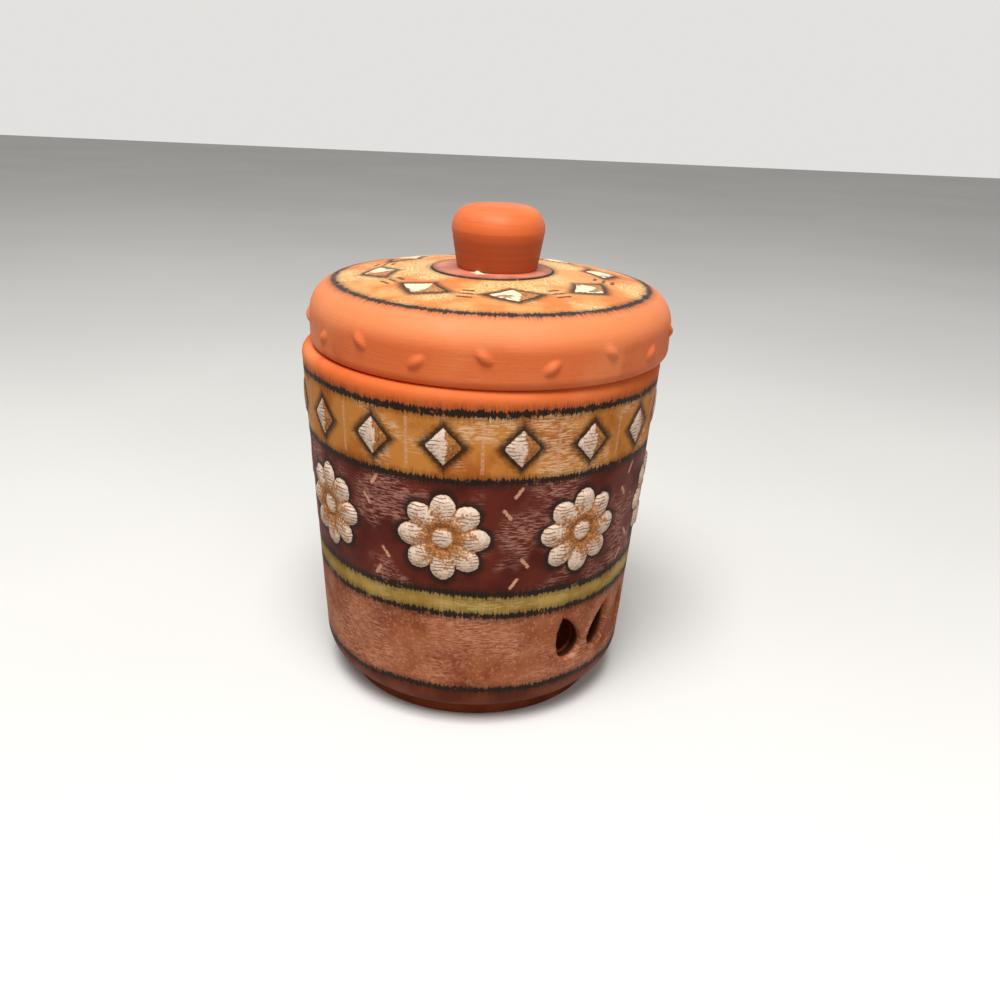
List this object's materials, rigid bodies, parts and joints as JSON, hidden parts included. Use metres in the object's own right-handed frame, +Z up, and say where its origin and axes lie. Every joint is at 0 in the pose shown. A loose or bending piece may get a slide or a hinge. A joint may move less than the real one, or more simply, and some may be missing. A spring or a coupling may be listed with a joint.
{
  "type": "garlic keeper",
  "caption": "Round terracotta garlic keeper: a jar with teardrop vent holes low in its wall and a loose lid with a knob, for storing garlic in air.",
  "frame": {"origin": "on the jar's axis, in the plane that its foot rests on", "axes": "+Z up along the jar's axis, -Y the side that faces the viewer in the picture, +X to that viewer's right; the row of vents is centred 69.5 degrees from -Y towards +X"},
  "size_m": [0.129, 0.1267, 0.1715],
  "materials": {
    "painted_terracotta": "matt unglazed terracotta, cold painted in ochre, maroon, cream and umber",
    "bare_terracotta": "matt bare terracotta",
    "adhesive": "dull cream, set hard"
  },
  "bodies": {
    "jar": {"jar": "painted_terracotta"},
    "lid": {"lid": "painted_terracotta", "knob": "bare_terracotta", "knob_bond": "adhesive"}
  },
  "joints": [
    {"name": "lid_lift", "type": "slide", "parent": "jar", "child": "lid", "axis": [0, 0, 1], "range_m": [0, 0.12]}
  ]
}
